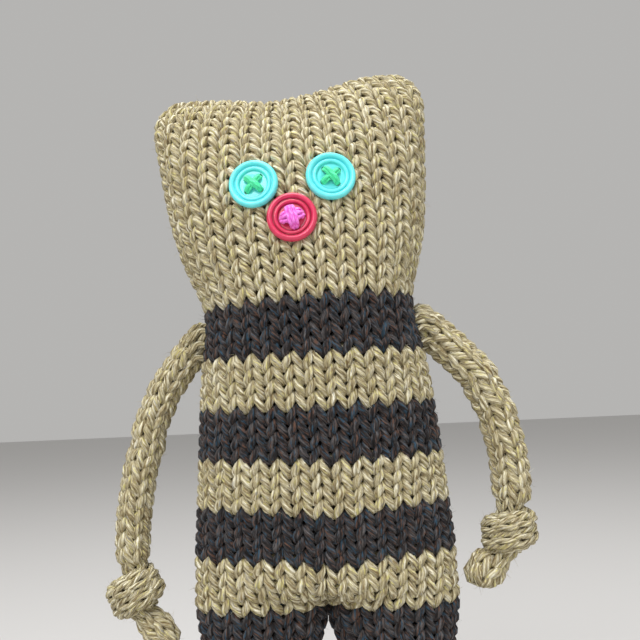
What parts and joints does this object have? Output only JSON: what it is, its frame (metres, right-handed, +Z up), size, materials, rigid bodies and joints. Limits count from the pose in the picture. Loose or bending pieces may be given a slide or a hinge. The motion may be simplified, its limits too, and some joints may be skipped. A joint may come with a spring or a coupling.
{
  "type": "knitted toy bear",
  "caption": "Hand-knitted stuffed toy bear in striped yarn, with a square head whose corners are the ears, sewn button eyes and nose, soft legs, and knitted-cord arms that end in knots.",
  "frame": {"origin": "middle of the bounding box's bottom, on the floor between the two soles", "axes": "+Z up, the bear faces -Y, and its own left side is +X; left and right in every name are the bear's own"},
  "size_m": [0.1353, 0.0518, 0.2432],
  "materials": {
    "light_yarn": "heathered olive-khaki wool yarn, stocking stitch",
    "dark_yarn": "flecked charcoal wool yarn, stocking stitch",
    "fibrefill": "white polyester toy filling",
    "turquoise_button": "glossy moulded plastic",
    "red_button": "glossy moulded plastic",
    "green_thread": "stranded sewing thread",
    "pink_thread": "shiny stranded sewing thread"
  },
  "bodies": {
    "torso": {"shoulder_band": "dark_yarn", "torso_band_light_upper": "light_yarn", "torso_band_dark_upper": "dark_yarn", "torso_band_light_lower": "light_yarn", "torso_band_dark_lower": "dark_yarn", "torso_stuffing": "fibrefill", "left_hip_band": "light_yarn", "right_hip_band": "light_yarn"},
    "neck": {"neck_stuffing": "fibrefill", "neck_rows_dark": "dark_yarn", "neck_rows_light": "light_yarn"},
    "head": {"head_cover": "light_yarn", "head_stuffing": "fibrefill", "left_eye_button": "turquoise_button", "left_eye_thread": "green_thread", "right_eye_button": "turquoise_button", "right_eye_thread": "green_thread", "nose_button": "red_button", "nose_thread": "pink_thread"},
    "left_leg": {"left_leg_band_dark_upper": "dark_yarn", "left_leg_band_light_upper": "light_yarn", "left_leg_band_dark_lower": "dark_yarn", "left_leg_band_light_lower": "light_yarn", "left_foot": "dark_yarn", "left_leg_stuffing": "fibrefill"},
    "right_leg": {"right_leg_band_dark_upper": "dark_yarn", "right_leg_band_light_upper": "light_yarn", "right_leg_band_dark_lower": "dark_yarn", "right_leg_band_light_lower": "light_yarn", "right_foot": "dark_yarn", "right_leg_stuffing": "fibrefill"},
    "left_shoulder": {"left_shoulder_stitches": "light_yarn"},
    "left_upper_arm": {"left_upper_arm": "light_yarn"},
    "left_forearm": {"left_forearm": "light_yarn", "left_hand_knot": "light_yarn", "left_cord_tail": "light_yarn"},
    "right_shoulder": {"right_shoulder_stitches": "light_yarn"},
    "right_upper_arm": {"right_upper_arm": "light_yarn"},
    "right_forearm": {"right_forearm": "light_yarn", "right_hand_knot": "light_yarn", "right_cord_tail": "light_yarn"}
  },
  "joints": [
    {"name": "head_tilt", "type": "hinge", "parent": "torso", "child": "neck", "pos_m": [-0.00198, 0, 0.17157], "axis": [0, 1, 0], "range_deg": [-15, 15], "stiffness_Nm_per_rad": 0.03, "deforming": ["neck_rows_dark", "neck_rows_light"]},
    {"name": "head_nod", "type": "hinge", "parent": "neck", "child": "head", "pos_m": [-0.00198, 0, 0.17157], "axis": [1, 0, 0], "range_deg": [-20, 20], "stiffness_Nm_per_rad": 0.03, "deforming": ["neck_rows_dark", "neck_rows_light"]},
    {"name": "left_hip", "type": "hinge", "parent": "torso", "child": "left_leg", "pos_m": [0.02105, 0, 0.0818], "axis": [-1, 0, 0], "range_deg": [-25, 75], "stiffness_Nm_per_rad": 0.06, "deforming": ["left_hip_band"]},
    {"name": "right_hip", "type": "hinge", "parent": "torso", "child": "right_leg", "pos_m": [-0.02105, 0, 0.0818], "axis": [-1, 0, 0], "range_deg": [-25, 75], "stiffness_Nm_per_rad": 0.06, "deforming": ["right_hip_band"]},
    {"name": "left_shoulder_swing", "type": "hinge", "parent": "torso", "child": "left_shoulder", "pos_m": [0.04035, 0, 0.16313], "axis": [-0.9715, 0, -0.2371], "range_deg": [-90, 110]},
    {"name": "left_arm_raise", "type": "hinge", "parent": "left_shoulder", "child": "left_upper_arm", "pos_m": [0.04035, 0, 0.16313], "axis": [0, -1, 0], "range_deg": [0, 110]},
    {"name": "left_elbow", "type": "hinge", "parent": "left_upper_arm", "child": "left_forearm", "pos_m": [0.05862, 0, 0.13261], "axis": [-0.964, 0, -0.266], "range_deg": [-70, 70]},
    {"name": "right_shoulder_swing", "type": "hinge", "parent": "torso", "child": "right_shoulder", "pos_m": [-0.04324, 0, 0.16017], "axis": [-0.9884, 0, 0.1521], "range_deg": [-90, 110]},
    {"name": "right_arm_raise", "type": "hinge", "parent": "right_shoulder", "child": "right_upper_arm", "pos_m": [-0.04324, 0, 0.16017], "axis": [0, 1, 0], "range_deg": [0, 110]},
    {"name": "right_elbow", "type": "hinge", "parent": "right_upper_arm", "child": "right_forearm", "pos_m": [-0.05788, 0, 0.12312], "axis": [-0.9823, 0, 0.1871], "range_deg": [-70, 70]}
  ]
}
